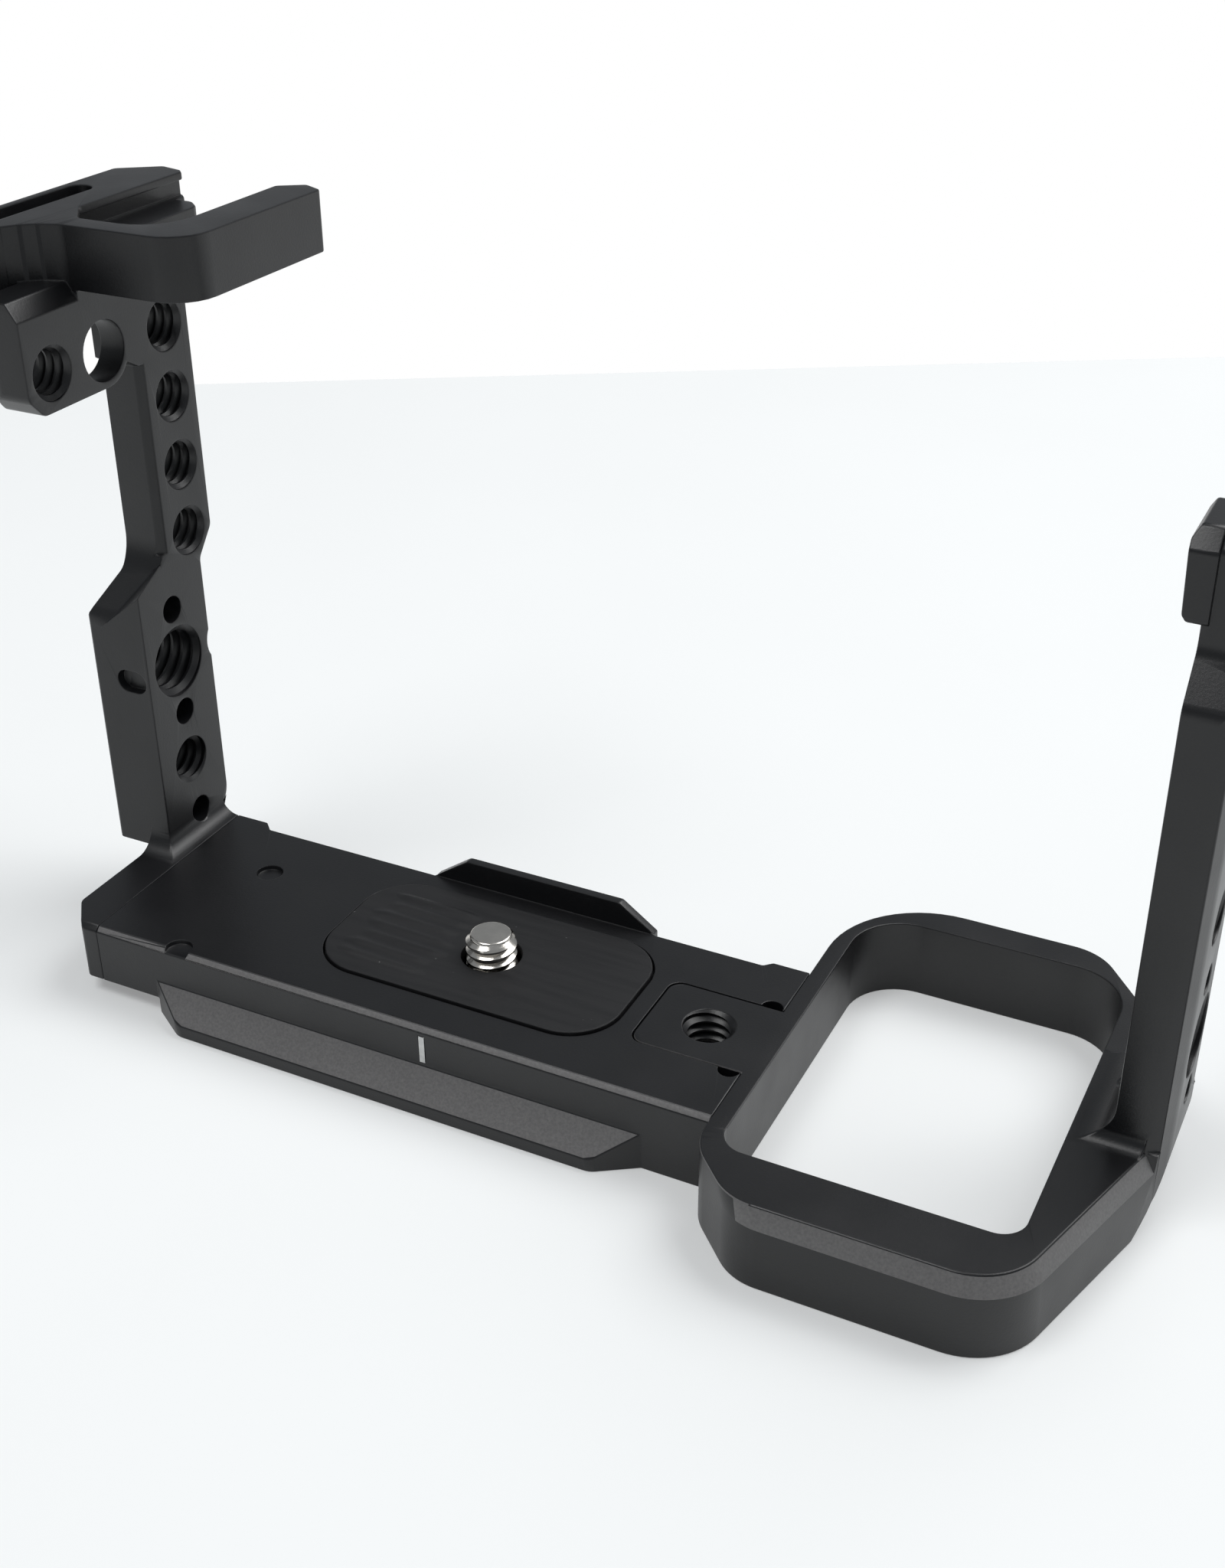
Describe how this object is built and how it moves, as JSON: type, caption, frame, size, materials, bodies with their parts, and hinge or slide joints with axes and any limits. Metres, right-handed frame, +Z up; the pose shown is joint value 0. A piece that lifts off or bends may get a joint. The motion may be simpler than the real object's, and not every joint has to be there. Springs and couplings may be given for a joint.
{
  "type": "camera cage",
  "caption": "Black anodised camera cage: base plate with dovetail rail and camera screw, left upright with shoe and strap bar, open grip frame with right upright.",
  "frame": {"origin": "axis of the camera screw on the seating face of the base plate", "axes": "+X to the right of the camera seen from behind, +Y towards the lens side, +Z up along the camera screw"},
  "size_m": [0.1465, 0.0619, 0.0943],
  "materials": {
    "anodised": "fine satin black anodising with machined chamfers",
    "pad_rubber": "dull black rubber",
    "stainless": "turned stainless steel",
    "black_steel": "black oxide"
  },
  "bodies": {
    "cage": {"base_plate": "anodised", "side_plate": "anodised", "grip_frame": "anodised", "grip_pad": "pad_rubber", "side_screws": "black_steel", "side_pins": "stainless", "tongue_screws": "black_steel", "tongue_pins": "stainless", "key_magnets": "stainless"},
    "clip": {"screw_clip": "black_steel"},
    "screw": {"camera_screw": "stainless"},
    "key": {"flat_key": "stainless"}
  },
  "joints": [
    {"name": "clip_lift", "type": "slide", "parent": "cage", "child": "clip", "axis": [0, 0, 1], "range_m": [0, 0.0016]},
    {"name": "screw_turn", "type": "hinge", "parent": "clip", "child": "screw", "pos_m": [0, 0, 0], "axis": [0, 0, 1], "continuous": true},
    {"name": "key_out", "type": "slide", "parent": "cage", "child": "key", "axis": [0, 0, -1], "range_m": [0, 0.012]}
  ]
}
